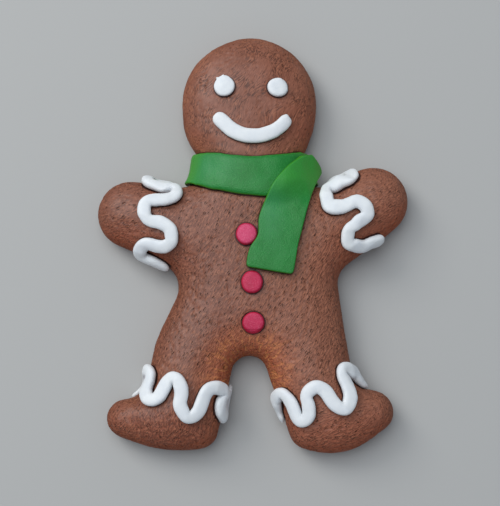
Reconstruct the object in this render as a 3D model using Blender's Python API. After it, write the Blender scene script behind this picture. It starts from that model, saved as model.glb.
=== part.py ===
"""Gingerbread man ornament: a modelling-clay copy of an iced gingerbread biscuit, lying on its flat back.

Sizes below are in millimetres, and add_object turns them into metres. +Z points out of the decorated
front, +Y runs to the head and +X to the viewer's right. The origin is on the surface the figure lies
on, under the middle of its outline.
"""

import math

import bmesh
import bpy
import numpy as np
from mathutils import Vector
from mathutils.bvhtree import BVHTree
from mathutils.geometry import delaunay_2d_cdt
from mathutils.interpolate import poly_3d_calc

METRES = 0.001
GAP = 0.3  # clear space between neighbouring pieces

# The figure's edge is a belt drawn tight round these rounds, clockwise from the crown. It runs outside
# a BULGE, such as a hand, and inside a NOOK, such as an armpit: name: (x, y, radius, kind).
BULGE, NOOK = 1, -1
ROUNDS = {
    "crown": (-0.85, 33.85, 16.5, BULGE),
    "cheek_right": (3.9, 30.3, 11.2, BULGE),
    "neck_right": (16.8, 18.5, 5.1, NOOK),
    "hand_right": (28.85, 9.75, 8.6, BULGE),
    "armpit_right": (26.3, -10.1, 5.9, NOOK),
    "ankle_right": (29.0, -29.7, 5.6, NOOK),
    "toe_right": (28.2, -40.5, 5.1, BULGE),
    "sole_right": (18.2, -33.7, 16.6, BULGE),
    "heel_right": (13.5, -44.5, 5.1, BULGE),
    "crotch": (-0.8, -31.4, 4.1, NOOK),
    "heel_left": (-13.1, -44.2, 5.1, BULGE),
    "sole_left": (-18.1, -24.7, 24.9, BULGE),
    "toe_left": (-30.0, -42.0, 4.7, BULGE),
    "ankle_left": (-30.3, -31.8, 5.4, NOOK),
    "hip_left": (-4.0, -29.6, 20.0, BULGE),
    "armpit_left": (-24.0, -11.1, 6.2, NOOK),
    "hand_left": (-29.3, 6.7, 8.3, BULGE),
    "neck_left": (-17.8, 18.4, 5.0, NOOK),
    "cheek_left": (-5.8, 29.7, 11.3, BULGE),
}

# The body is a pillow: widest at WAIST, rounded over to a nearly level front, with a flat back.
WAIST = 4.6
RISE = 7.4
ROUNDING = 9.0  # depth in from the edge at which the front stops rising
SWELL = 1.0  # the further rise from there to the middle of the chest and face
DEEPEST = 15.0  # depth at which the swell is whole
TUCK = 2.0  # how far the flat back stays in from the edge
UNDER_STEPS = 3  # rings from the flat back up to the waist
RIM_DEPTHS = (0.45, 1.6, 3.3)  # depths in from the edge of the rings above the waist
FRONT_SPACING = 3.4  # between the points of the front

# The belt is drawn twice: coarse for the body's mesh, and fine to measure distances from.
ARC_STEP = math.radians(13)
RUN_STEP = 3.4
FINE_STEP = 0.3
CLOSEST = 0.01  # the least distance to the edge that is told from none
ABOVE = 40.0  # a height over every piece

# Linear red, green and blue, and roughness.
CLAY = {
    "brown_clay": (0.24, 0.095, 0.055, 0.60),
    "white_clay": (0.80, 0.80, 0.79, 0.55),
    "green_clay": (0.045, 0.24, 0.055, 0.50),
    "red_clay": (0.52, 0.03, 0.07, 0.40),
}

# Icing ropes: points that the middle of each rope passes, left and right as the viewer sees them.
# (x, y) lies on the front, and (x, y, z) on the rounded edge or down the side.
ICING_WIDTH = 3.0
ICING_HEIGHT = 2.5
ICING_SIDE_HEIGHT = 1.0  # where it is pressed against an upright side
ICING_LEVEL = 0.5  # upward share of the surface's normal above which a rope has its full height
ICING_SIDES = 8
ICING_STEP = 1.15
ICING_INSIDE = 0.75  # most of a bend's radius that the rope's inner side takes up
ROPE_CAP = (0.12, 0.5)  # sections of a rope's rounded end, as shares of its half width from the tip
CURVE_FINENESS = 8  # a curve is traced this many times finer than the spacing asked for
ICING = {
    "icing_left_arm": (
        (-19.0, 14.0, 4.4),
        (-21.2, 14.6, 4.4),
        (-23.4, 15.2, 4.9),
        (-24.9, 15.2, 6.6),
        (-24.8, 14.5, 9.0),
        (-23.0, 13.8, 10.2),
        (-20.4, 13.2, 10.9),
        (-18.4, 11.4),
        (-18.7, 9.5),
        (-20.7, 9.1),
        (-23.0, 9.1),
        (-24.9, 8.2),
        (-25.4, 6.3),
        (-24.5, 4.5),
        (-22.5, 4.1),
        (-20.2, 3.4),
        (-18.8, 1.5),
        (-18.9, -0.6),
        (-20.6, -1.5),
        (-22.5, -1.3),
        (-24.4, -1.0),
        (-26.2, -1.7, 10.4),
        (-27.0, -3.4, 8.8),
        (-25.8, -4.5, 7.4),
        (-23.7, -5.0, 6.8),
        (-21.7, -6.0, 6.2),
        (-20.3, -7.1, 6.0),
    ),
    "icing_right_arm": (
        (17.6, 14.9, 4.8),
        (19.6, 15.8, 4.8),
        (21.6, 16.6, 5.3),
        (23.4, 16.9, 6.8),
        (24.0, 15.9, 8.9),
        (22.9, 14.7, 10.4),
        (21.0, 13.9, 10.4),
        (19.3, 13.0, 10.5),
        (17.8, 11.5),
        (17.4, 9.7),
        (17.5, 8.0),
        (18.8, 6.9),
        (20.9, 7.1),
        (23.3, 8.0),
        (25.4, 8.1),
        (26.9, 6.8),
        (26.5, 5.0),
        (24.5, 3.8),
        (22.7, 2.7),
        (21.9, 0.8),
        (22.4, -0.8),
        (23.9, -1.8, 10.8),
        (26.0, -1.5, 9.8),
        (28.2, -0.5, 8.8),
        (30.9, 0.8, 8.0),
    ),
    "icing_left_leg": (
        (-28.7, -36.8, 2.4),
        (-27.1, -36.0, 2.4),
        (-26.2, -34.6, 2.7),
        (-25.8, -33.0, 3.6),
        (-25.6, -31.5, 5.4),
        (-25.3, -30.7, 7.6),
        (-24.9, -31.4, 9.6),
        (-25.3, -33.3, 10.2),
        (-25.3, -35.4, 10.6),
        (-24.5, -37.1),
        (-23.2, -37.9),
        (-21.6, -37.2),
        (-20.5, -35.2),
        (-19.6, -33.5),
        (-18.4, -32.5),
        (-16.9, -33.3),
        (-16.5, -35.3),
        (-16.8, -38.0),
        (-16.4, -40.3),
        (-14.8, -41.5),
        (-13.1, -40.7),
        (-12.2, -38.6),
        (-11.3, -36.2),
        (-10.1, -34.8),
        (-8.5, -34.8),
        (-7.2, -36.0),
        (-6.9, -38.4, 10.4),
        (-7.4, -40.6, 8.4),
        (-7.0, -41.6, 6.0),
        (-6.4, -39.9, 4.0),
        (-5.8, -37.2, 3.0),
        (-5.2, -33.9, 2.8),
    ),
    "icing_right_leg": (
        (7.2, -42.7, 3.6),
        (6.3, -40.6, 4.6),
        (5.8, -38.8, 6.0),
        (5.6, -37.2, 8.0),
        (6.5, -36.2, 10.2),
        (8.0, -36.7),
        (9.1, -38.3),
        (9.9, -40.6),
        (11.0, -42.1),
        (12.4, -42.1),
        (13.2, -40.9),
        (12.9, -38.4),
        (12.9, -36.3),
        (14.0, -34.9),
        (15.6, -34.9),
        (16.9, -36.2),
        (18.1, -38.2),
        (19.8, -39.8),
        (21.6, -39.6),
        (22.4, -38.1),
        (21.9, -35.9),
        (21.0, -33.6),
        (20.7, -31.6),
        (21.6, -30.4, 10.8),
        (23.0, -31.0, 8.8),
        (24.6, -32.4, 6.8),
        (26.7, -34.3, 4.8),
    ),
}
SMILE = ((-8.5, 29.8), (-5.8, 26.7), (-3.2, 24.9), (-0.2, 24.3), (2.8, 24.7), (5.7, 26.5), (8.4, 29.4))
SMILE_WIDTHS = (3.4, 3.0)
SMILE_HEIGHT = 1.7

# Domes pressed on the front: name: (x, y, half width, half length, height, lump, clay). The lump is the
# share by which the edge swells to a soft point towards the head.
LUMP_SHARPNESS = 4
DOMES = {
    "eye_left": (-6.85, 36.45, 2.55, 2.5, 1.7, 0.14, "white_clay"),
    "eye_right": (6.0, 36.2, 2.5, 2.2, 1.7, 0.05, "white_clay"),
    "button_top": (-1.5, 0.9, 2.45, 2.45, 1.6, 0.0, "red_clay"),
    "button_middle": (-0.2, -10.4, 2.5, 2.65, 1.6, 0.0, "red_clay"),
    "button_bottom": (0.1, -20.0, 2.6, 2.6, 1.6, 0.0, "red_clay"),
}
DOME_SIDES = 14
# Rings of a dome, as shares of its radius and height, from its underside up.
DOME_RINGS = ((0.84, 0.0), (1.0, 0.33), (0.92, 0.72), (0.62, 0.94))

# Scarf: a band wrapped over the neck and down both its sides, and a tail that lies over the band and
# the chest. The edges are stops (x, y): of the band across the neck, and of the tail from the fold down.
CLOTH = 1.8
CLOTH_LIP = 1.2  # thickness at the band's two edges
BAND_TOP = ((-15.0, 20.2), (-12.0, 20.5), (0.0, 19.3), (12.0, 20.6), (15.0, 20.2))
BAND_LOW = ((-15.0, 14.0), (-12.5, 12.9), (-10.0, 11.9), (-2.0, 10.3), (4.0, 9.8), (10.0, 11.6), (15.0, 15.1))
BAND_TURN = math.radians(104)
BAND_REACH = (15.0, 10.0)  # half axes of the loop that the band is drawn in from
BAND_COLUMNS = 24
BAND_ROWS = (0.0, 0.1, 0.35, 0.65, 0.9, 1.0)  # shares of the way from its low edge to its top edge
BAND_BELLY = 0.3  # how far it stands out from a straight line between its edges
TAIL_CLOTH = 1.8
TAIL_LEFT = (
    (12.0, 19.8),
    (8.6, 17.1),
    (5.1, 13.1),
    (3.3, 8.7),
    (1.8, 4.6),
    (1.5, 0.6),
    (-0.3, -1.7),
    (-1.2, -3.8),
    (-1.6, -6.9),
)
TAIL_RIGHT = ((14.3, 20.4), (16.8, 17.2), (15.3, 13.6), (13.3, 8.4), (11.8, 3.0), (10.4, -3.0), (9.4, -8.7))
TAIL_ROWS = 20
TAIL_COLUMNS = 8
TAIL_CROWDING = 0.5  # how far the columns crowd to the right edge, where the cloth turns down
FOLD_HEIGHT = 17.2  # the front of the fold above the band
FOLD_START, FOLD_END = 4.0, 17.3  # the fold turns down the neck's side between these x
FOLD_DROP = 11.0
FOLD_FROM, FOLD_TO = 6.5, 11.5  # the tail climbs from the chest to the fold between these y


def clear_scene():
    for obj in list(bpy.data.objects):
        bpy.data.objects.remove(obj, do_unlink=True)


def clay(name):
    """The Principled material of one colour of clay, made once."""
    if name in bpy.data.materials:
        return bpy.data.materials[name]
    red, green, blue, roughness = CLAY[name]
    material = bpy.data.materials.new(name)
    material.use_nodes = True
    shader = material.node_tree.nodes["Principled BSDF"]
    shader.inputs["Base Color"].default_value = (red, green, blue, 1.0)
    shader.inputs["Roughness"].default_value = roughness
    shader.inputs["Metallic"].default_value = 0.0
    return material


def add_object(name, points, faces, clay_name):
    """A closed, smooth-shaded mesh object from points in millimetres, its faces turned outwards."""
    mesh = bpy.data.meshes.new(name)
    mesh.from_pydata([tuple(METRES * c for c in point) for point in points], [], faces)
    shell = bmesh.new()
    shell.from_mesh(mesh)
    bmesh.ops.recalc_face_normals(shell, faces=shell.faces)
    shell.to_mesh(mesh)
    shell.free()
    mesh.shade_smooth()
    mesh.materials.append(clay(clay_name))
    obj = bpy.data.objects.new(name, mesh)
    bpy.context.scene.collection.objects.link(obj)
    return obj


# The outline


def belt(arc_step, run_step):
    """Points along the belt and the outward normal at each, clockwise."""
    rounds = list(ROUNDS.values())
    count = len(rounds)
    leaving = []  # outward angle of the straight run from each round to the next
    for index in range(count):
        x1, y1, r1, kind1 = rounds[index]
        x2, y2, r2, kind2 = rounds[(index + 1) % count]
        span = math.hypot(x2 - x1, y2 - y1)
        lean = math.asin((kind1 * r1 - kind2 * r2) / span)
        leaving.append(math.atan2(y2 - y1, x2 - x1) + math.pi / 2 - lean)
    points = []
    normals = []
    for index, (x, y, radius, kind) in enumerate(rounds):
        start = leaving[index - 1]
        turn = kind * ((kind * (start - leaving[index])) % (2 * math.pi))
        steps = max(2, math.ceil(abs(turn) / arc_step), math.ceil(abs(turn) * radius / run_step))
        for step in range(steps + 1):
            angle = start - turn * step / steps
            normal = Vector((math.cos(angle), math.sin(angle)))
            points.append(Vector((x, y)) + kind * radius * normal)
            normals.append(normal)
        # The straight run to the next round, whose first point is at this same angle.
        x2, y2, r2, kind2 = rounds[(index + 1) % count]
        begin = points[-1]
        end = Vector((x2, y2)) + kind2 * r2 * normals[-1]
        pieces = math.ceil((end - begin).length / run_step)
        for piece in range(1, pieces):
            points.append(begin.lerp(end, piece / pieces))
            normals.append(normals[-1].copy())
    return np.array(points), np.array(normals)


EDGE_POINTS, EDGE_NORMALS = belt(ARC_STEP, RUN_STEP)
FINE_EDGE, _ = belt(FINE_STEP, FINE_STEP)
FINE_NEXT = np.roll(FINE_EDGE, -1, axis=0)
FINE_MIDDLES = (FINE_EDGE + FINE_NEXT) / 2
FINE_LENGTHS = np.linalg.norm(FINE_NEXT - FINE_EDGE, axis=1)


def depths(points):
    """A soft distance from the outline: exact beside a straight edge, and rounded over where edges meet."""
    spread = points[:, None, :] - FINE_MIDDLES[None, :, :]
    squares = np.maximum((spread**2).sum(axis=2), CLOSEST**2)
    return (2 / math.pi * (FINE_LENGTHS / squares**2).sum(axis=1)) ** (-1 / 3)


def front_heights(points):
    """Heights of the body's front above points inside the outline."""
    depth = depths(np.asarray(points, float))
    slope = 1 - np.minimum(depth / ROUNDING, 1)
    middle = np.minimum(depth / DEEPEST, 1) ** 2
    return WAIST + RISE * np.sqrt(1 - slope**2) + SWELL * middle


# The body


def hex_points(inside_depth):
    """Points of an even triangular grid that lie deeper inside the outline than inside_depth."""
    low = EDGE_POINTS.min(axis=0)
    high = EDGE_POINTS.max(axis=0)
    row_step = FRONT_SPACING * math.sqrt(3) / 2
    grid = []
    for row in range(math.ceil((high[1] - low[1]) / row_step)):
        shift = FRONT_SPACING / 2 * (row % 2)
        for column in range(math.ceil((high[0] - low[0]) / FRONT_SPACING)):
            grid.append((low[0] + shift + column * FRONT_SPACING, low[1] + row * row_step))
    grid = np.array(grid)
    # A point is inside where a level line from it to the right crosses the outline an odd number of times.
    crossed = (FINE_EDGE[:, 1] > grid[:, None, 1]) != (FINE_NEXT[:, 1] > grid[:, None, 1])
    run, rise = (FINE_NEXT - FINE_EDGE).T
    rise = np.where(rise == 0, CLOSEST, rise)
    meeting = FINE_EDGE[:, 0] + (grid[:, None, 1] - FINE_EDGE[:, 1]) / rise * run
    inside = (crossed & (grid[:, None, 0] < meeting)).sum(axis=1) % 2 == 1
    distance = np.linalg.norm(grid[:, None, :] - FINE_EDGE[None, :, :], axis=2).min(axis=1)
    return grid[inside & (distance > inside_depth)]


def body_mesh():
    """Rings up the rounded side, a flat back and a front of even triangles."""
    rings = []
    for step in range(UNDER_STEPS):
        angle = math.pi / 2 * (1 - step / UNDER_STEPS)
        inset = TUCK * (1 - math.cos(angle))
        heights = np.full(len(EDGE_POINTS), WAIST * (1 - math.sin(angle)))
        rings.append(np.column_stack((EDGE_POINTS - inset * EDGE_NORMALS, heights)))
    rings.append(np.column_stack((EDGE_POINTS, np.full(len(EDGE_POINTS), WAIST))))
    for depth in RIM_DEPTHS:
        plan = EDGE_POINTS - depth * EDGE_NORMALS
        rings.append(np.column_stack((plan, front_heights(plan))))
    around = len(EDGE_POINTS)
    points = [tuple(point) for ring in rings for point in ring]
    faces = [tuple(range(around))]
    for level in range(len(rings) - 1):
        for index in range(around):
            after = (index + 1) % around
            low, high = level * around, (level + 1) * around
            faces.append((low + after, low + index, high + index, high + after))
    # The front, triangulated inside the last ring.
    rim = rings[-1][:, :2]
    middle = hex_points(RIM_DEPTHS[-1] + FRONT_SPACING / 2)
    plan = np.vstack((rim, middle))
    loop = [(index, (index + 1) % around) for index in range(around)]
    result = delaunay_2d_cdt([Vector(point) for point in plan], loop, [], 1, 1e-5)
    first = (len(rings) - 1) * around
    points += [(x, y, z) for (x, y), z in zip(middle, front_heights(middle))]
    sources = [first + origins[0] for origins in result[3]]
    faces += [tuple(sources[corner] for corner in face) for face in result[2]]
    return points, faces


class Skin:
    """The body's surface, for laying other pieces on it."""

    def __init__(self, points, faces):
        self.points = [Vector(point) for point in points]
        self.faces = faces
        self.tree = BVHTree.FromPolygons(self.points, faces)
        self.normals = [Vector() for _ in points]
        for face in faces[1:]:
            normal = (self.points[face[1]] - self.points[face[0]]).cross(
                self.points[face[2]] - self.points[face[1]]
            )
            for corner in face:
                self.normals[corner] += normal
        for normal in self.normals:
            normal.normalize()

    def smooth_normal(self, place, face_index):
        face = self.faces[face_index]
        weights = poly_3d_calc([self.points[corner] for corner in face], place)
        blend = Vector()
        for weight, corner in zip(weights, face):
            blend += weight * self.normals[corner]
        return blend.normalized()

    def nearest(self, guess):
        """The surface point nearest to guess, and the outward normal there."""
        place, _, face_index, _ = self.tree.find_nearest(Vector(guess))
        return place, self.smooth_normal(place, face_index)

    def front(self, x, y):
        """The point of the front above (x, y), and the outward normal there."""
        place, _, face_index, _ = self.tree.ray_cast(Vector((x, y, ABOVE)), Vector((0, 0, -1)))
        return place, self.smooth_normal(place, face_index)


# Curves through points


def through(points, spacing):
    """Points about spacing apart along a smooth curve through the given ones."""
    points = [Vector(point) for point in points]
    points = [2 * points[0] - points[1]] + points + [2 * points[-1] - points[-2]]
    fine = []
    for before, start, end, after in zip(points, points[1:], points[2:], points[3:]):
        pieces = math.ceil((end - start).length / spacing * CURVE_FINENESS)
        for piece in range(pieces):
            t = piece / pieces
            fine.append(
                0.5
                * (
                    2 * start
                    + (end - before) * t
                    + (2 * before - 5 * start + 4 * end - after) * t**2
                    + (3 * start - before - 3 * end + after) * t**3
                )
            )
    fine.append(points[-2])
    return fine


def spaced(points, distances):
    """Points of a polyline at the given distances along it."""
    lengths = [(end - start).length for start, end in zip(points, points[1:])]
    along = np.concatenate(((0.0,), np.cumsum(lengths)))
    table = np.array([tuple(point) for point in points])
    columns = [np.interp(distances, along, table[:, axis]) for axis in range(table.shape[1])]
    return [Vector(row) for row in zip(*columns)]


def length_of(points):
    return sum((end - start).length for start, end in zip(points, points[1:]))


# Pieces laid on the body


def rope(skin, name, route, widths, height, clay_name):
    """A rounded rope pressed on the body along a route, with round ends."""
    half = max(widths) / 2
    lift = GAP + height / 2
    guesses = []
    for stop in route:
        if len(stop) == 2:
            place, normal = skin.front(*stop)
            guesses.append(place + lift * normal)
        else:
            guesses.append(Vector(stop))
    centres = []
    for guess in through(guesses, ICING_STEP):
        place, normal = skin.nearest(guess)
        centres.append(place + lift * normal)
    total = length_of(centres)
    count = math.ceil((total - 2 * half) / ICING_STEP)
    cap = [half * share for share in ROPE_CAP]
    distances = cap + list(np.linspace(half, total - half, count)) + [total - step for step in reversed(cap)]
    centres = spaced(centres, distances)
    bends = [Vector()]  # at each centre, towards the middle of the bend, one over its radius long
    for before, centre, after in zip(centres, centres[1:], centres[2:]):
        turn = (after - centre).normalized() - (centre - before).normalized()
        bends.append(2 * turn / (after - before).length)
    bends.append(Vector())
    points = []
    for index, centre in enumerate(centres):
        ahead = centres[min(index + 1, len(centres) - 1)] - centres[max(index - 1, 0)]
        place, up = skin.nearest(centre)
        side = ahead.cross(up).normalized()
        share = distances[index] / total
        width = widths[0] + (widths[1] - widths[0]) * share
        from_end = min(distances[index], total - distances[index], half)
        size = math.sqrt(1 - (1 - from_end / half) ** 2) / math.cos(math.pi / ICING_SIDES)
        level = min(max(up.z, 0.0) / ICING_LEVEL, 1.0)
        rise = ICING_SIDE_HEIGHT + (height - ICING_SIDE_HEIGHT) * level
        near = [bend.dot(side) for bend in bends[max(index - 1, 0) : index + 2]]
        right = ICING_INSIDE / max(*near, ICING_INSIDE / width)
        left = ICING_INSIDE / max(*(-bend for bend in near), ICING_INSIDE / width)
        for corner in range(ICING_SIDES):
            angle = 2 * math.pi * (corner + 0.5) / ICING_SIDES
            across = min(max(width / 2 * size * math.cos(angle), -left), right)
            above = rise / 2 * (1 + size * math.sin(angle))
            points.append(place + side * across + up * (GAP + max(above, 0.0)))
    faces = [tuple(range(ICING_SIDES))]
    for ring in range(len(centres) - 1):
        for corner in range(ICING_SIDES):
            after = (corner + 1) % ICING_SIDES
            low, high = ring * ICING_SIDES, (ring + 1) * ICING_SIDES
            faces.append((low + corner, low + after, high + after, high + corner))
    faces.append(tuple(range((len(centres) - 1) * ICING_SIDES, len(centres) * ICING_SIDES)))
    return add_object(name, points, faces, clay_name)


def dome(skin, name, x, y, half_width, half_length, height, lump, clay_name):
    """A soft dome pressed on the front, its underside following the body."""
    points = []
    for share, level in DOME_RINGS:
        for side in range(DOME_SIDES):
            angle = 2 * math.pi * side / DOME_SIDES
            swell = 1 + lump * max(0.0, math.sin(angle)) ** LUMP_SHARPNESS
            across = x + half_width * share * math.cos(angle)
            along = y + half_length * share * swell * math.sin(angle)
            place, _ = skin.front(across, along)
            points.append(place + Vector((0, 0, GAP + height * level)))
    place, _ = skin.front(x, y)
    points.append(place + Vector((0, 0, GAP + height)))
    faces = [tuple(range(DOME_SIDES))]
    for ring in range(len(DOME_RINGS) - 1):
        for side in range(DOME_SIDES):
            after = (side + 1) % DOME_SIDES
            low, high = ring * DOME_SIDES, (ring + 1) * DOME_SIDES
            faces.append((low + side, low + after, high + after, high + side))
    last = (len(DOME_RINGS) - 1) * DOME_SIDES
    for side in range(DOME_SIDES):
        faces.append((last + side, last + (side + 1) % DOME_SIDES, len(points) - 1))
    return add_object(name, points, faces, clay_name)


def sheet(name, outer, inner, clay_name):
    """A closed sheet between two grids of points, given as lists of rows."""
    rows, columns = len(outer), len(outer[0])
    points = [point for grid in (outer, inner) for row in grid for point in row]
    faces = []
    for layer in (0, rows * columns):
        for row in range(rows - 1):
            for column in range(columns - 1):
                low, high = layer + row * columns + column, layer + (row + 1) * columns + column
                faces.append((low, low + 1, high + 1, high))
    border = [(0, column) for column in range(columns)]
    border += [(row, columns - 1) for row in range(1, rows)]
    border += [(rows - 1, column) for column in range(columns - 2, -1, -1)]
    border += [(row, 0) for row in range(rows - 2, 0, -1)]
    ids = [row * columns + column for row, column in border]
    for here, after in zip(ids, ids[1:] + ids[:1]):
        faces.append((here, after, after + rows * columns, here + rows * columns))
    return add_object(name, points, faces, clay_name)


def scarf_band(skin):
    """The wrapped part: an outer face straight across its width, over an inner face that follows the neck."""
    tops = np.array(BAND_TOP).T
    lows = np.array(BAND_LOW).T
    reach_x, reach_z = BAND_REACH
    outer = [[] for _ in BAND_ROWS]
    inner = [[] for _ in BAND_ROWS]
    for column in range(BAND_COLUMNS):
        angle = BAND_TURN * (2 * column / (BAND_COLUMNS - 1) - 1)
        x, z = reach_x * math.sin(angle), WAIST + reach_z * math.cos(angle)
        low, top = np.interp(x, *lows), np.interp(x, *tops)
        hits = []
        for share in BAND_ROWS:
            place, normal = skin.nearest((x, low + (top - low) * share, z))
            level = Vector((normal.x, 0, normal.z)).normalized()
            hits.append((place + GAP * normal, level))
        ends = [place + CLOTH_LIP * level for place, level in (hits[0], hits[-1])]
        for row, (share, (place, level)) in enumerate(zip(BAND_ROWS, hits)):
            straight = ends[0].lerp(ends[1], share)
            rounding = min(1.0, min(share, 1 - share) / BAND_ROWS[1])
            thickness = max(CLOTH, (straight - place).dot(level) + BAND_BELLY)
            inner[row].append(place)
            outer[row].append(place + (CLOTH_LIP + (thickness - CLOTH_LIP) * rounding) * level)
    return sheet("scarf_band", outer, inner, "green_clay")


def tail_height(x, y):
    """The tail's front: on the chest below, and over the band and down past the neck's side above."""
    chest = front_heights([(x, y)])[0] + GAP + TAIL_CLOTH
    past = min(max((x - FOLD_START) / (FOLD_END - FOLD_START), 0.0), 1.0)
    fold = FOLD_HEIGHT - FOLD_DROP * (1 - math.sqrt(1 - past**2))
    climb = min(max((y - FOLD_FROM) / (FOLD_TO - FOLD_FROM), 0.0), 1.0)
    climb = climb * climb * (3 - 2 * climb)
    return chest + (fold - chest) * climb


def scarf_tail():
    """The hanging end, its back a cloth's thickness behind its front."""
    sides = []
    for edge in (TAIL_LEFT, TAIL_RIGHT):
        curve = through([(x, y, 0) for x, y in edge], TAIL_CLOTH)
        sides.append(spaced(curve, np.linspace(0, length_of(curve), TAIL_ROWS)))
    outer = []
    for left, right in zip(*sides):
        row = []
        for column in range(TAIL_COLUMNS):
            share = column / (TAIL_COLUMNS - 1)
            share += TAIL_CROWDING * (math.sin(math.pi / 2 * share) - share)
            plan = left.lerp(right, share)
            row.append(Vector((plan.x, plan.y, tail_height(plan.x, plan.y))))
        outer.append(row)
    inner = []
    for row in range(TAIL_ROWS):
        behind = []
        for column in range(TAIL_COLUMNS):
            along = outer[min(row + 1, TAIL_ROWS - 1)][column] - outer[max(row - 1, 0)][column]
            across = outer[row][min(column + 1, TAIL_COLUMNS - 1)] - outer[row][max(column - 1, 0)]
            behind.append(outer[row][column] - TAIL_CLOTH * across.cross(-along).normalized())
        inner.append(behind)
    return sheet("scarf_tail", outer, inner, "green_clay")


def build():
    clear_scene()
    points, faces = body_mesh()
    add_object("body", points, faces, "brown_clay")
    skin = Skin(points, faces)
    for name, route in ICING.items():
        rope(skin, name, route, (ICING_WIDTH, ICING_WIDTH), ICING_HEIGHT, "white_clay")
    rope(skin, "smile", SMILE, SMILE_WIDTHS, SMILE_HEIGHT, "white_clay")
    for name, sizes in DOMES.items():
        dome(skin, name, *sizes)
    scarf_band(skin)
    scarf_tail()


build()
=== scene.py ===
import math
import random

import bmesh
import bpy
import numpy as np
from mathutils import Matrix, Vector, noise
from mathutils.bvhtree import BVHTree
from mathutils.kdtree import KDTree


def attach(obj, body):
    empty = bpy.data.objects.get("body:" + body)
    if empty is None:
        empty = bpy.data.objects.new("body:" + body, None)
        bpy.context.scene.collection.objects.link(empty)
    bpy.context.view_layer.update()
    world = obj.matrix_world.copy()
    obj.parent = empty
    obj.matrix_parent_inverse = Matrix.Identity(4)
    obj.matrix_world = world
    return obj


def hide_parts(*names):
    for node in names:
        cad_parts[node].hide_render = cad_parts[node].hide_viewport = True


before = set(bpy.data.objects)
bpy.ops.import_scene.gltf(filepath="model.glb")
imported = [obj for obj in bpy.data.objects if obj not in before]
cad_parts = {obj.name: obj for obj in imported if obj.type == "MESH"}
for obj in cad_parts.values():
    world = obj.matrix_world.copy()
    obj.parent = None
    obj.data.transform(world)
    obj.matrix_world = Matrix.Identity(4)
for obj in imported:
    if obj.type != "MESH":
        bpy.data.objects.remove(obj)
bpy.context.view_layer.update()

# ---------------------------------------------------------------------------------------------------
# Icing at the wrists and ankles, and the smile: ropes of white clay, rolled 3 mm thick by hand, laid in
# waves on the soft body and pressed down with a fingertip. They were baked with it and left matt.

MM = 0.001
SAME_POINT = 0.001 * MM
PAIR_FOLD = math.radians(50)  # two triangles that fold less than this are paired,
PAIR_SKEW = math.radians(60)  # if the quad's corners are no further than this from square


def blank(node):
    """The solid's mesh as a bmesh, its loose triangles merged and paired into quads."""
    shape = bmesh.new()
    shape.from_mesh(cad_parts[node].data)
    bmesh.ops.remove_doubles(shape, verts=shape.verts, dist=SAME_POINT)
    bmesh.ops.join_triangles(
        shape, faces=shape.faces, angle_face_threshold=PAIR_FOLD, angle_shape_threshold=PAIR_SKEW
    )
    return shape


def piece_from(shape, name):
    """A smooth-shaded object of that name with the bmesh as its mesh."""
    mesh = bpy.data.meshes.new(name)
    shape.to_mesh(mesh)
    shape.free()
    mesh.shade_smooth()
    piece = bpy.data.objects.new(name, mesh)
    bpy.context.scene.collection.objects.link(piece)
    return piece


def settle(piece):
    """Makes the piece's modifiers part of its mesh."""
    graph = bpy.context.evaluated_depsgraph_get()
    mesh = bpy.data.meshes.new_from_object(piece.evaluated_get(graph))
    piece.modifiers.clear()
    piece.data = mesh
    piece.data.shade_smooth()


def smoothed(piece, levels):
    """The piece after that many rounds of subdivision."""
    rounds = piece.modifiers.new("rounds", "SUBSURF")
    rounds.levels = levels
    rounds.render_levels = levels
    settle(piece)


def places(piece, kind="co"):
    """The vertices' places, or with kind="normal" their normals, as rows of numbers."""
    rows = np.empty(len(piece.data.vertices) * 3, np.float32)
    piece.data.vertices.foreach_get(kind, rows)
    return rows.reshape(-1, 3).astype(float)


def move_to(piece, rows):
    """Puts the vertices at those places."""
    piece.data.vertices.foreach_set("co", rows.astype(np.float32).ravel())
    piece.data.update()


def unevenness(rows, size, seed):
    """Soft noise about -1 to 1 at each place, with features of that size."""
    shift = Vector((seed, 2 * seed, -seed))
    fade, step, octaves = 1.0, 2.0, 2
    return np.array([noise.fractal(Vector(row) / size + shift, fade, step, octaves) for row in rows])


SKIN = BVHTree.FromBMesh(blank("body"))


def pressed(piece, sink):
    """Moves the piece down on the body along the body's own normals."""
    rows = places(piece)
    downs = np.array([SKIN.find_nearest(Vector(row))[1] for row in rows])
    move_to(piece, rows - sink * downs)


def flattened(piece, share, keep):
    """Presses the top flatter: of the height above that share of the whole, only keep is left."""
    rows = places(piece)
    found = [SKIN.find_nearest(Vector(row)) for row in rows]
    ups = np.array([up for _, up, _, _ in found])
    over = ((rows - np.array([near for near, _, _, _ in found])) * ups).sum(axis=1)
    high = share * over.max()
    move_to(piece, rows - ups * (np.clip(over - high, 0, None) * (1 - keep))[:, None])


def evened(piece, voxel):
    """Gives the piece a mesh of even squares of that size."""
    even = piece.modifiers.new("even", "REMESH")
    even.mode = "VOXEL"
    even.voxel_size = voxel
    settle(piece)


def kneaded(piece, voxel, passes):
    """Evens out the piece's mesh and softens it, and keeps its largest lump alone."""
    evened(piece, voxel)
    soft = piece.modifiers.new("soft", "SMOOTH")
    soft.factor = 0.5
    soft.iterations = passes
    settle(piece)
    shape = bmesh.new()
    shape.from_mesh(piece.data)
    rest = set(shape.verts)
    lumps = []
    while rest:  # a bubble that the remesh left inside is a lump of its own
        lump = front = {rest.pop()}
        while front:
            front = {edge.other_vert(vert) for vert in front for edge in vert.link_edges} & rest
            rest -= front
            lump = lump | front
        lumps.append(lump)
    lumps.sort(key=len)
    bmesh.ops.delete(shape, geom=[vert for lump in lumps[:-1] for vert in lump], context="VERTS")
    shape.to_mesh(piece.data)
    shape.free()


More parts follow.
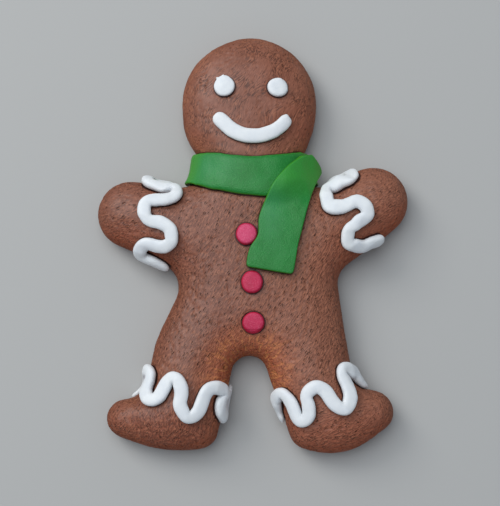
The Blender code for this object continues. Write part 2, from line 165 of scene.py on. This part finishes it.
def handled(piece, amount, size, seed, fuller=0.0):
    """Gives the piece the slight unevenness of something rolled by hand, and makes it that much fuller."""
    rows = places(piece)
    normals = places(piece, "normal")
    move_to(piece, rows + normals * (fuller + amount * unevenness(rows, size, seed))[:, None])


def pulled(piece, spot, way, reach):
    """Pulls the clay about a spot (x, y) by way (x, y), less and less over that reach, in millimetres."""
    rows = places(piece)
    away = np.hypot(rows[:, 0] - spot[0] * MM, rows[:, 1] - spot[1] * MM)
    share = np.exp(-((away / (reach * MM)) ** 2))
    move_to(piece, rows + share[:, None] * np.array([way[0] * MM, way[1] * MM, 0.0]))


class Value:
    """A shader value: maths on it reads as plain Python, and each step adds its own Math node."""

    def __init__(self, finish, socket):
        self.finish = finish
        self.socket = socket

    def maths(self, operation, *values):
        sockets = dict(enumerate(values))
        return self.finish.make("Math", {"operation": operation}, sockets).value()

    def __add__(self, other):
        return self.maths("ADD", self, other)

    def __radd__(self, other):
        return self.maths("ADD", other, self)

    def __sub__(self, other):
        return self.maths("SUBTRACT", self, other)

    def __rsub__(self, other):
        return self.maths("SUBTRACT", other, self)

    def __mul__(self, other):
        return self.maths("MULTIPLY", self, other)

    def __rmul__(self, other):
        return self.maths("MULTIPLY", other, self)

    def __pow__(self, other):
        return self.maths("POWER", self, other)

    def __rpow__(self, other):
        return self.maths("POWER", other, self)

    def between(self, low, high):
        """0 below low, 1 above high and a soft step from one to the other."""
        sockets = {"Value": self, "From Min": low, "From Max": high}
        return self.finish.make("MapRange", {"interpolation_type": "SMOOTHSTEP"}, sockets).value()


class Made:
    """A node just made, for taking an output from."""

    def __init__(self, finish, node):
        self.finish = finish
        self.node = node

    def value(self, output=0):
        return Value(self.finish, self.node.outputs[output])


class Finish:
    """A clay's material, a slot name that is kept but not used, its shader, and the one way of adding a node
    to it.
    """

    def __init__(self, name, slot=None):
        self.slot = slot
        self.material = bpy.data.materials.new(name)
        self.material.use_nodes = True
        self.tree = self.material.node_tree
        self.shader = self.tree.nodes["Principled BSDF"]
        self.place = self.make("TexCoord").value("Object")

    def set(self, node, sockets):
        """Gives a node's sockets their values or links."""
        for key, value in sockets.items():
            if isinstance(value, Value):
                self.tree.links.new(value.socket, node.inputs[key])
            else:
                node.inputs[key].default_value = value

    def make(self, kind, settings=None, sockets=None):
        """Adds a node of that kind, with its settings first and then its sockets."""
        node = self.tree.nodes.new("ShaderNode" + kind)
        for key, value in (settings or {}).items():
            setattr(node, key, value)
        self.set(node, sockets or {})
        return Made(self, node)

    def kept(self, name):
        """A number stored on the piece's vertices."""
        return self.make("Attribute", {"attribute_name": name}).value("Fac")

    def turned(self, place, degrees, stretch):
        """Those coordinates stretched along a direction in the plane of the front."""
        return self.make("Mapping", {"vector_type": "TEXTURE"}, {
            "Vector": place, "Rotation": (0, 0, math.radians(degrees)), "Scale": (stretch, 1, 1),
        }).value()

    def noise(self, place, size, detail, output="Fac"):
        """Noise about 0 to 1 at a place, with features of that size."""
        return self.make("TexNoise", {}, {"Vector": place, "Scale": 1 / size, "Detail": detail}).value(output)

    def clouds(self, size, detail=2.0):
        """Noise on the piece's own coordinates."""
        return self.noise(self.place, size, detail)

    def streaks(self, size, detail, degrees, stretch):
        """Noise that is that much longer along a direction."""
        return self.noise(self.turned(self.place, degrees, stretch), size, detail)

    def blend(self, share, one, other):
        """One colour turning into the other as share goes from 0 to 1."""
        one, other = ((*colour, 1) if isinstance(colour, tuple) else colour for colour in (one, other))
        return self.make("Mix", {"data_type": "RGBA"}, {0: share, 6: one, 7: other}).value(2)

    def relief(self, height, distance):
        """Makes the surface rise by distance where height is 1."""
        bump = self.make("Bump", {}, {"Height": height, "Distance": distance})
        self.set(self.shader, {"Normal": bump.value("Normal")})

    def put_on(self, piece, node):
        """Gives the piece this finish, hides the solid that it stands for and hangs it on the root."""
        piece.data.materials.clear()
        piece.data.materials.append(self.material)
        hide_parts(node)
        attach(piece, "root")


WHITE = (0.76, 0.785, 0.80)
DULL_WHITE = (0.715, 0.745, 0.775)
white = Finish("white_clay_baked", "white_clay")
dull = white.clouds(3 * MM, detail=3.0)
white.set(white.shader, {
    "Base Color": white.blend(dull.between(0.35, 0.7), WHITE, DULL_WHITE),
    "Roughness": 0.42 + 0.2 * dull, "Specular IOR Level": 0.4,
    "Subsurface Weight": 0.6, "Subsurface Scale": 1.2 * MM, "Subsurface Radius": (1.0, 1.0, 1.0),
})
white.relief(white.clouds(0.6 * MM, detail=3.0), 0.03 * MM)

ROPE_SINK = 0.4 * MM
ROPE_FULLER = 0.26 * MM
ROPE_PULLS = {  # where a rope was nudged once it lay there: spot, way and reach, in millimetres
    "icing_left_arm": (
        ((-22.0, 12.8), (0.1, -0.5), 1.5),
    ),
    "icing_right_arm": (  # the strand that comes over the shoulder lies a little higher
        ((16.3, 9.0), (0.45, 0.0), 2.0),
        ((20.0, 14.3), (-0.1, 0.75), 1.8),
        ((23.9, 16.8), (-0.3, -1.4), 1.9),
        ((19.3, 12.3), (0.0, -0.45), 1.3),
        ((19.3, 8.9), (0.0, 0.5), 1.3),
    ),
    "icing_left_leg": (),
    "icing_right_leg": (),
    "smile": (  # its right end was pinched off
        ((7.1, 30.2), (0.1, -0.65), 0.5),
        ((8.15, 30.4), (-0.05, 0.55), 0.45),
        ((9.5, 29.4), (-0.45, -0.1), 0.9),
    ),
}
ropes = []
for seed, (node, pulls) in enumerate(ROPE_PULLS.items()):
    rope = piece_from(blank(node), node + "_rope")
    smoothed(rope, levels=2)
    pressed(rope, ROPE_SINK)
    flattened(rope, share=0.66, keep=0.35)
    kneaded(rope, voxel=0.2 * MM, passes=16)
    handled(rope, amount=0.05 * MM, size=2.6 * MM, seed=seed, fuller=ROPE_FULLER)
    for spot, way, reach in pulls:
        pulled(rope, spot, way, reach)
    white.put_on(rope, node)
    ropes.append(rope)

# ---------------------------------------------------------------------------------------------------
# The eyes and the buttons: small balls of white and of red clay, set on the front and pressed flat
# with a fingertip. The left eye tore a little at its upper edge.


def store(piece, name, values):
    """Keeps a number for each vertex, for the finish to read."""
    kept = piece.data.attributes.new(name, "FLOAT", "POINT")
    kept.data.foreach_set("value", np.clip(values, 0, 1).astype(np.float32))


RED = (0.46, 0.004, 0.038)
DEEP_RED = (0.38, 0.003, 0.024)
SHEEN_RED = (0.66, 0.070, 0.18)
PALE_RED = (0.74, 0.15, 0.26)
red = Finish("red_clay_baked", "red_clay")
sheen = red.clouds(1.6 * MM)
grain = red.clouds(0.26 * MM)
# painted sheen: the buttons' up-facing tops are painted paler and pinker, with more pale specks, most on the
# top button
top_sheen = red.kept("top_sheen")
colour = red.blend(sheen.between(0.3, 0.7), RED, DEEP_RED)
colour = red.blend(top_sheen * 0.75, colour, SHEEN_RED)
red.set(red.shader, {
    "Base Color": red.blend(grain.between(0.48, 0.68) * (0.08 + 0.4 * top_sheen), colour, PALE_RED),
    "Roughness": 0.42 + 0.16 * sheen, "Specular IOR Level": 0.3,
})
red.relief(grain, 0.14 * MM)

DOME_SINK = 0.50 * MM
DOME_SEED = 11
DOMES = {  # clay, how much fuller it is in millimetres, the height it is flattened from, and the painted sheen on its top
    "eye_left": (white, 0.18, 0.60, 0.0),
    "eye_right": (white, 0.24, 0.60, 0.0),
    "button_top": (red, 0.36, 0.72, 1.0),
    "button_middle": (red, 0.25, 0.72, 0.4),
    "button_bottom": (red, 0.22, 0.72, 0.45),
}
TEARS = (  # spot, way and reach
    ((-8.35, 38.4), (-0.4, 0.15), 0.28),
    ((-7.1, 38.9), (0.05, 0.25), 0.25),
)
domes = []
for seed, (node, (clay, fuller, flat_from, top_sheen_share)) in enumerate(DOMES.items(), DOME_SEED):
    dome = piece_from(blank(node), node + "_dome")
    smoothed(dome, levels=2)
    kneaded(dome, voxel=0.16 * MM, passes=8)
    pressed(dome, DOME_SINK)
    flattened(dome, share=flat_from, keep=0.4)
    smoothed(dome, levels=1)
    handled(dome, amount=0.08 * MM, size=2.2 * MM, seed=seed, fuller=fuller * MM)
    if node == "eye_left":
        for spot, way, reach in TEARS:
            pulled(dome, spot, way, reach)
    top = np.clip((places(dome, "normal")[:, 2] - 0.55) / 0.4, 0, 1)  # where it looks up
    # painted sheen on the up-facing top
    store(dome, "top_sheen", top * top_sheen_share)
    clay.put_on(dome, node)
    domes.append(dome)

# ---------------------------------------------------------------------------------------------------
# The scarf: a strip of green clay rolled flat and cut with a blade, wrapped over the neck and down its
# sides. Its loose end is folded over the band at the neck's right side and hangs down the chest.

GREEN = (0.007, 0.190, 0.026)
DEEP_GREEN = (0.004, 0.158, 0.016)
SHEEN_GREEN = (0.042, 0.270, 0.100)
FOLDED_GREEN = (0.040, 0.330, 0.030)
PALE_GREEN = (0.035, 0.300, 0.058)
CUT_AND_HIGHLIGHT_GREEN = (0.045, 0.285, 0.010)
green = Finish("green_clay_baked", "green_clay")
drift = green.clouds(5 * MM, detail=3.0)
grain = green.clouds(0.28 * MM)
colour = green.blend(drift.between(0.3, 0.7), GREEN, DEEP_GREEN)
# painted sheen: a paler, bluer spot on the band's left and on the tail
colour = green.blend(green.kept("painted_sheen") * 0.5, colour, SHEEN_GREEN)
colour = green.blend(green.kept("folded") * 0.6, colour, FOLDED_GREEN)
colour = green.blend(grain.between(0.42, 0.72) * 0.45, colour, PALE_GREEN)
green.set(green.shader, {
    # cut sides painted yellower: partly the cut clay, partly a painted highlight along the rim
    "Base Color": green.blend(green.kept("cut") * 0.8, colour, CUT_AND_HIGHLIGHT_GREEN),
    "Roughness": 0.38 + 0.2 * drift, "Specular IOR Level": 0.42,
})
green.relief(grain + 0.5 * green.clouds(1.6 * MM), 0.12 * MM)

STRIP_SINK = 0.35 * MM
DRAPE_GAP = 0.15 * MM
MOST_DROP = 3.0 * MM
DRAPE_NEIGHBOURS = 6  # a point drops by the mean of this many below it


def draped(shape, band):
    """Lowers the tail where it bridges a hollow, on to the band and the body."""
    shape.normal_update()
    under = KDTree(len(shape.verts))
    gaps = {}
    for vert in shape.verts:
        if vert.normal.z > 0:
            continue
        tops = [tree.ray_cast(vert.co + Vector((0, 0, MM)), Vector((0, 0, -1)))[0] for tree in (band, SKIN)]
        tops = [top.z for top in tops if top is not None]
        if tops:
            gaps[vert.index] = min(max(vert.co.z - max(tops) - DRAPE_GAP, 0.0), MOST_DROP)
            under.insert(Vector((vert.co.x, vert.co.y, 0)), vert.index)
    under.balance()
    for vert in shape.verts:
        near = under.find_n(Vector((vert.co.x, vert.co.y, 0)), DRAPE_NEIGHBOURS)
        vert.co.z -= sum(gaps[index] for _, index, _ in near) / len(near)


RIM_ANGLE = math.radians(55)
RIM_ROUND = 0.3 * MM
CORNER_ROUND = 0.8 * MM
CORNER_STEEPNESS = 0.8  # how much of its length a corner's edge goes up or down
BEVEL = {"affect": "EDGES", "profile": 0.5, "material": -1}
STRIP_SEED = 21
SHEEN_SPOTS = {  # where a painted sheen makes it paler and bluer: the middle of the spot and its half axes, in millimetres
    "scarf_band": ((-11, 17), (7, 4)),
    "scarf_tail": ((4.2, 7), (3, 8)),
}
strips = []
for seed, (node, (spot, reach)) in enumerate(SHEEN_SPOTS.items(), STRIP_SEED):
    shape = blank(node)
    is_tail = node == "scarf_tail"
    if is_tail:
        draped(shape, BVHTree.FromObject(strips[0], bpy.context.evaluated_depsgraph_get()))
        corners = [
            edge for edge in shape.edges
            if edge.calc_face_angle(0.0) > RIM_ANGLE
            and abs(edge.verts[0].co.z - edge.verts[1].co.z) > CORNER_STEEPNESS * edge.calc_length()
        ]
        bmesh.ops.bevel(shape, geom=corners, offset=CORNER_ROUND, segments=3, **BEVEL)
    rim = [edge for edge in shape.edges if edge.calc_face_angle(0.0) > RIM_ANGLE]
    bmesh.ops.bevel(shape, geom=rim, offset=RIM_ROUND, segments=2, **BEVEL)
    strip = piece_from(shape, node + "_strip")
    smoothed(strip, levels=3)
    handled(strip, amount=0.12 * MM, size=4.5 * MM, seed=seed)
    if is_tail:
        pulled(strip, spot=(1.6, 5.5), way=(-0.5, 0.0), reach=5.0)
    else:
        pressed(strip, STRIP_SINK)
    rows = places(strip)
    store(strip, "painted_sheen", np.exp(-(((rows[:, :2] / MM - spot) / reach) ** 2).sum(axis=1)))
    store(strip, "cut", (0.80 - places(strip, "normal")[:, 2]) / 0.35)  # the sides that the blade cut, painted a yellower green: partly the cut clay, partly a painted highlight along the rim
    store(strip, "folded", (rows[:, 1] - 9 * MM) / (5 * MM) * is_tail)  # paler and yellower towards the top of the tail
    green.put_on(strip, node)
    strips.append(strip)

# ---------------------------------------------------------------------------------------------------
# The body. One slab of brown modelling clay, cut as a gingerbread man, rounded over by hand and baked
# lying on its flat back. While soft it was brushed and stippled, to look like the crumb of a biscuit,
# and the pieces above were pressed into it.

VOXEL = 0.35 * MM
BACK_HEIGHT = 0.06 * MM  # the flat back is below this,
BACK_NORMAL = -0.995  # where the surface looks straight down

body = piece_from(blank("body"), "body_slab")
smoothed(body, levels=2)
evened(body, VOXEL)
shape = bmesh.new()
shape.from_mesh(body.data)
back = [
    face for face in shape.faces
    if face.normal.z < BACK_NORMAL and all(vert.co.z < BACK_HEIGHT for vert in face.verts)
]
bmesh.ops.dissolve_faces(shape, faces=back, use_verts=True)
shape.to_mesh(body.data)
shape.free()
body.data.shade_smooth()

rows = places(body)
normals = places(body, "normal")
upright = np.clip(1 - normals[:, 2], 0, 1)


def within(x, y, reach):
    """1 at a spot on the front, falling off over that reach, in millimetres."""
    return np.exp(-(((rows[:, 0] / MM - x) ** 2 + (rows[:, 1] / MM - y) ** 2) / reach**2))


head = np.clip(1.25 * within(-1, 33, 19), 0, 1)
CROTCH = Vector((-0.8, -31.4)) * MM
FAN = 10 * MM
fan = np.exp(-((np.hypot(rows[:, 0] - CROTCH.x, rows[:, 1] - CROTCH.y) / FAN) ** 2))
depth = np.zeros(len(rows))  # how far each point is pressed in

tree = KDTree(len(rows))
for index, row in enumerate(rows):
    tree.insert(row, index)
tree.balance()

# Brush marks: short dents, fewer on the head, and long fine scratches there and on the left foot.
DENTS = 5200
DENT_LENGTHS, DENT_HALVES, DENT_DEPTHS = (0.2, 0.9), (0.36, 0.48), (0.08, 0.24)
SCRATCHES = 520
SCRATCH_LENGTHS, SCRATCH_HALF, SCRATCH_DEPTHS, SCRATCH_BEND = (2.0, 7.0), 0.42 * MM, (0.03, 0.075), 0.35
DEEPEST_DENT = 0.26 * MM
CHIN, FOOT_SIDE, FOOT_TOP = 21 * MM, -9 * MM, -34 * MM  # what bounds the scratched places
FAN_PULL = 3
WANDER = 0.22  # how far a stroke strays from the brush's way
BRUSHED = (  # middle of the region, its reach and the brush's direction in degrees
    ((-1, 33), 15, 42),
    ((-8, 2), 14, 62),
    ((8, -12), 16, 78),
    ((-28, 7), 8, 12),
    ((29, 10), 8, 35),
    ((-19, -40), 9, 96),
    ((20, -41), 9, 25),
    ((-14, -24), 9, 66),
    ((15, -22), 9, 100),
)


def brush_direction(row):
    """The way the brush went at a point, as an angle in the plane of the front."""
    doubled = Vector((0.0, 0.0))
    for (x, y), reach, degrees in BRUSHED:
        weight = math.exp(-(((row[0] / MM - x) ** 2 + (row[1] / MM - y) ** 2) / reach**2))
        angle = 2 * math.radians(degrees)
        doubled += weight * Vector((math.cos(angle), math.sin(angle)))
    away = Vector(row[:2]) - CROTCH
    angle = 2 * math.atan2(away.y, away.x)
    doubled += FAN_PULL * math.exp(-((away.length / FAN) ** 2)) * Vector((math.cos(angle), math.sin(angle)))
    return math.atan2(doubled.y, doubled.x) / 2


def groove(start, length, half, deep, bend):
    """Presses a groove into the front, from start along the brush's way: half is half its width."""
    angle = brush_direction(start) + rng.gauss(0, WANDER)
    steps = max(1, round(length / (0.7 * half)))
    spot = start
    dents = {}
    for step in range(steps + 1):
        share = step / steps
        taper = math.sin(math.pi * (0.15 + 0.7 * share))
        spot = Vector(tree.find(spot)[0])
        for _, index, distance in tree.find_range(spot, half):
            dent = deep * taper * (1 - (distance / half) ** 2) ** 1.5
            dents[index] = max(dents.get(index, 0.0), dent)
        angle += bend / steps
        spot = spot + Vector((math.cos(angle), math.sin(angle), 0)) * (length / steps)
    for index, dent in dents.items():
        depth[index] = min(depth[index] + dent, max(depth[index], DEEPEST_DENT))


def any_of(sizes):
    """A random size between the two, in metres."""
    return rng.uniform(*sizes) * MM


rng = random.Random(31)
for _ in range(DENTS):
    index = rng.randrange(len(rows))
    if rng.random() < 0.75 * head[index]:
        continue
    groove(Vector(rows[index]), any_of(DENT_LENGTHS), any_of(DENT_HALVES), any_of(DENT_DEPTHS), bend=0.0)
scratched = [row for row in rows if row[1] > CHIN or (row[0] < FOOT_SIDE and row[1] < FOOT_TOP)]
for _ in range(SCRATCHES):
    start = Vector(scratched[rng.randrange(len(scratched))])
    groove(start, any_of(SCRATCH_LENGTHS), SCRATCH_HALF, any_of(SCRATCH_DEPTHS), rng.gauss(0, SCRATCH_BEND))

# Pinpricks: small pits of all sizes, closest together on the soles and down the sides.
PITS = 2600
PIT_HALVES, PIT_DEPTHS = (0.34, 0.52), (0.08, 0.28)
SHALLOW_PITS, SHALLOWER = 0.7, 0.6  # the share of pits that are shallower, and how much
pricked = np.zeros(len(rows))
made = 0
while made < PITS:
    index = rng.randrange(len(rows))
    row = rows[index]
    sole = max(0.0, min(1.0, (-39 * MM - row[1]) / (5 * MM)))
    if rng.random() > 0.22 + 0.6 * upright[index] + 0.5 * sole:
        continue
    made += 1
    half = any_of(PIT_HALVES)
    deep = any_of(PIT_DEPTHS) * (SHALLOWER if rng.random() < SHALLOW_PITS else 1.0)
    for _, near, distance in tree.find_range(Vector(row), half):
        dent = deep * (1 - (distance / half) ** 2) ** 2
        depth[near] = max(depth[near], dent)
        pricked[near] = max(pricked[near], dent / (PIT_DEPTHS[1] * MM))

# The pieces pressed on it sink in a little and leave a narrow crease round themselves, painted dark: a
# painted contact shadow.
CREASE = 0.85 * MM
CREASE_DEPTH = 0.18 * MM
UNEVEN = (  # the slab's own unevenness: size, height and seed
    (9 * MM, 0.16 * MM, 5.0),
    (2.4 * MM, 0.035 * MM, 6.0),
    (0.7 * MM, 0.022 * MM, 8.0),
)
crease_and_shadow = np.zeros(len(rows))
everything = bmesh.new()
for other in (*ropes, *domes, *strips):
    everything.from_mesh(other.data)
pieces_on_it = BVHTree.FromBMesh(everything)
everything.free()
for index, row in enumerate(rows):
    found = pieces_on_it.find_nearest(Vector(row), CREASE)
    if found[0] is not None:
        crease_and_shadow[index] = 1 - found[3] / CREASE
front = np.clip((rows[:, 2] - 1.2 * MM) / (2.0 * MM), 0, 1)  # nothing is changed near the flat back
inward = depth + CREASE_DEPTH * crease_and_shadow
for size, height, seed in UNEVEN:
    inward -= unevenness(rows, size, seed) * height
move_to(body, rows - normals * (inward * front)[:, None])

# Redder towards the soles and round the crotch, and lighter and redder towards the right. The sides
# that face the feet and the right are painted redder still: partly the clay's redder edges, partly
# painted shade where they turn away from the light. The left is the glossier side.
KEPT = {
    "pricked": pricked,
    "crease_and_shadow": crease_and_shadow,
    "upright": upright,
    "fan": fan,
    "head": head,
    "sole": (-37 * MM - rows[:, 1]) / (7 * MM),
    # painted redder where the surface faces the feet or the right: partly the clay's redder edges, partly
    # painted shade away from the light
    "warm_and_shaded": -1.1 * normals[:, 1] + 0.25 * normals[:, 0],
    "ruddy": (rows[:, 0] + 1 * MM) / (11 * MM) * (1 - 0.8 * head),
    "glossy": 0.5 - 1.6 * normals[:, 0] - rows[:, 0] / (70 * MM),
    "swept_up": 1.3 * within(-19, -41, 10),
    "swept_across": within(20, -42, 9) + within(-31, 6, 6) + within(31, 9, 7),
}
for name, values in KEPT.items():
    store(body, name, values)

brown = Finish("brown_clay_baked", "brown_clay")
patches = brown.clouds(6 * MM, detail=3.0)
fan_share = brown.kept("fan").between(0.1, 0.75)
up = brown.kept("swept_up").between(0.1, 0.7) * (1 - fan_share)
across = brown.kept("swept_across").between(0.1, 0.7) * (1 - fan_share)
on_head = brown.kept("head").between(0.1, 0.8)
on_sole = brown.kept("sole")

# Round the crotch the brush ran outwards, so its lines there are noise on angle and distance.
parts = brown.make("SeparateXYZ", {}, {"Vector": brown.place})
beside = parts.value("X") - CROTCH.x
above = parts.value("Y") - CROTCH.y
distance = (beside**2 + above**2) ** 0.5
polar = brown.make("CombineXYZ", {}, {
    "X": above.maths("ARCTAN2", above, beside) * FAN, "Y": distance * 0.25, "Z": parts.value("Z") * 0.5,
}).value()
rays = brown.noise(polar, 0.9 * MM, detail=2.0)

# Crumb: the grain that the brush left, which runs with its strokes. Strokes: single marks of a stiff
# brush, a dash to each cell, with the burr that it pushed up beside it, moved to the lower right and
# painted lighter there: a painted highlight on the side of each dent that faces the light. Hairs: long
# fine lines that swirl a little.
STROKES = {  # size of the cells, half width in its cell, length for width, degrees, share of cells struck
    "steep": (0.58 * MM, 0.29, 2.8, 52, 0.9),
    "steeper": (0.70 * MM, 0.28, 2.2, 78, 0.7),
    "across": (0.80 * MM, 0.36, 2.4, 27, 0.6),
    "holes": (0.55 * MM, 0.38, 1.2, 70, 0.7),
}
NO_SHIFT = (0, 0, 0)
# moves the burr and its painted highlight to the lower right of each dent, the side that faces the light
BURR_HIGHLIGHT_SHIFT = Vector((0.20, -0.12, 0)) * MM


def dashes(shift, cell, half, length, degrees, share):
    """Dashes scattered at random in a share of such cells, all moved by shift."""
    moved = brown.make("VectorMath", {"operation": "SUBTRACT"}, {0: brown.place, 1: shift}).value()
    cells = brown.make("TexVoronoi", {}, {
        "Vector": brown.turned(moved, degrees, length), "Scale": 1 / cell,
    })
    luck = brown.make("SeparateXYZ", {}, {"Vector": cells.value("Color")}).value("X")
    return (luck.between(1 - share, 1.6 - share) * half - cells.value("Distance")).between(0.0, 0.2)


def both(one, other):
    """The greater of two shares."""
    return one.maths("MAXIMUM", one, other)


def swirling(size, degrees, stretch, bend, swirl):
    """Lines along a direction, bent this way and that over the size of a swirl."""
    bent = brown.make("VectorMath", {"operation": "MULTIPLY_ADD"}, {
        0: brown.noise(brown.place, swirl, 0.0, "Color"), 1: (bend, bend, 0), 2: brown.place,
    }).value()
    return brown.noise(brown.turned(bent, degrees, stretch), size, detail=1.5)


def marked(shift):
    """The strokes all over the body, in the ways that the brush went."""
    stroke = {name: dashes(shift, *sizes) for name, sizes in STROKES.items()}
    crossed = both(stroke["steep"], stroke["steeper"])
    marks = crossed * (1 - across) * (1 - up) + stroke["across"] * across
    return both(marks * (1 - 0.8 * on_head) * (1 - 0.5 * fan_share), stroke["holes"] * on_sole)


def crumbed(degrees):
    """The crumb's grain, drawn out along a direction."""
    return brown.streaks(0.36 * MM, 2.0, degrees, stretch=2.6)


struck = marked(NO_SHIFT)
burr_and_highlight = marked(BURR_HIGHLIGHT_SHIFT) * (1 - struck)
crumb = crumbed(58) * (1 - across) + crumbed(27) * across
faint = 1 - 0.65 * on_head
hairs = swirling(0.23 * MM, degrees=52, stretch=6.0, bend=5 * MM, swirl=7 * MM)
combed = brown.streaks(0.34 * MM, detail=1.5, degrees=97, stretch=5.0)
lines = hairs * on_head + combed * up + rays * fan_share
lined = on_head * brown.clouds(3.5 * MM, detail=1.0).between(0.38, 0.60) + up * 0.55 + fan_share
fine_lines = lines.between(0.53, 0.64) * lined
light_lines = lines.between(0.47, 0.36) * lined
pits = brown.kept("pricked")

BROWN = (0.245, 0.088, 0.052)
DEEP_BROWN = (0.205, 0.069, 0.038)
LAYERS = (  # each over the last: how much of it shows, and its colour
    (brown.kept("ruddy") * 0.8, (0.285, 0.108, 0.063)),
    # redder sides: partly the clay's own edges, partly painted shade where they turn from the light
    (both(brown.kept("warm_and_shaded") * 0.65, on_sole * 0.35), (0.36, 0.080, 0.033)),
    (fan_share * 0.6, (0.46, 0.100, 0.040)),
    (crumb.between(0.50, 0.64) * faint * 0.50, (0.42, 0.160, 0.088)),
    (crumb.between(0.47, 0.34) * faint * 0.36, (0.105, 0.033, 0.018)),
    (light_lines * 0.35, (0.46, 0.175, 0.085)),
    (fine_lines * 0.60, (0.070, 0.020, 0.010)),
    (rays.between(0.50, 0.62) * fan_share * 0.8, (0.66, 0.24, 0.09)),
    # painted highlight on the burr beside each dent
    (burr_and_highlight * 0.55, (0.52, 0.21, 0.12)),
    # painted shade in the struck dents and in the pits
    (struck * 0.28, (0.100, 0.030, 0.016)),
    (pits.between(0.2, 0.8) * 0.75, (0.050, 0.014, 0.008)),
    # painted contact shadow in the crease round the pieces
    (brown.kept("crease_and_shadow").between(0.42, 0.66) * 0.9, (0.035, 0.009, 0.008)),
)
colour = brown.blend(patches.between(0.35, 0.65), BROWN, DEEP_BROWN)
for share, tint in LAYERS:
    colour = brown.blend(share, colour, tint)
hollow = both(struck, pits)
polish = (1 - brown.kept("upright").between(0.05, 0.6)) * (1 - 0.9 * hollow)
brown.set(brown.shader, {
    "Base Color": colour, "Roughness": 0.5 + 0.2 * patches, "Specular IOR Level": 0.12,
    "Coat Weight": polish * (0.46 + 0.26 * brown.kept("glossy")), "Coat Roughness": 0.46, "Coat IOR": 1.5,
})
relief = crumb * faint * 0.8 + burr_and_highlight * 0.4 - struck * 0.6 - fine_lines * 0.25
brown.relief(relief, 0.8 * MM)
brown.put_on(body, "body")

# ---------------------------------------------------------------------------------------------------
# The studio: a plain pale floor of matt stone, and soft light. A wide cool lamp hangs over it at the
# upper left with a smaller, warmer one beside it, and a pale sky fills the shadows.

FLOOR_HALF = 1.5
SKY_BLUE = (0.82, 0.90, 1.0, 1)
SKY_STRENGTH = 0.34
LAMPS = (  # its name, diameter, power, place and colour
    ("softbox", 0.9, 5.3, (-0.22, 0.22, 0.84), (0.92, 0.96, 1.0)),
    ("side_lamp", 0.40, 2.1, (-0.46, 0.40, 0.50), (1.0, 0.97, 0.93)),
)

shape = bmesh.new()
bmesh.ops.create_grid(shape, x_segments=1, y_segments=1, size=FLOOR_HALF)
floor = piece_from(shape, "floor")
stone = Finish("floor_grey")
stone.set(stone.shader, {"Base Color": (0.435, 0.435, 0.425, 1), "Roughness": 0.9, "Specular IOR Level": 0.2})
floor.data.materials.append(stone.material)

sky = bpy.data.worlds.new("sky")
sky.use_nodes = True
background = sky.node_tree.nodes["Background"]
background.inputs["Color"].default_value = SKY_BLUE
background.inputs["Strength"].default_value = SKY_STRENGTH
bpy.context.scene.world = sky

for name, size, energy, place, colour in LAMPS:
    lamp = bpy.data.lights.new(name, "AREA")
    lamp.shape = "DISK"
    lamp.size = size
    lamp.energy = energy
    lamp.color = colour
    stand = bpy.data.objects.new(name, lamp)
    stand.location = place
    stand.rotation_euler = (-stand.location).to_track_quat("-Z", "Y").to_euler()
    bpy.context.scene.collection.objects.link(stand)

bpy.context.scene.view_settings.view_transform = "Standard"

# Seen from over the feet, almost straight down.
AIM = Vector((-0.68, -2.59, 5.0)) * MM
EYE = Vector((-0.68, -41.6, 322.6)) * MM
lens = bpy.data.cameras.new("camera")
lens.lens = 94.9
lens.clip_start = 0.01
lens.clip_end = 10
camera = bpy.data.objects.new("camera", lens)
camera.location = EYE
camera.rotation_euler = (AIM - EYE).to_track_quat("-Z", "Y").to_euler()
bpy.context.scene.collection.objects.link(camera)
bpy.context.scene.camera = camera
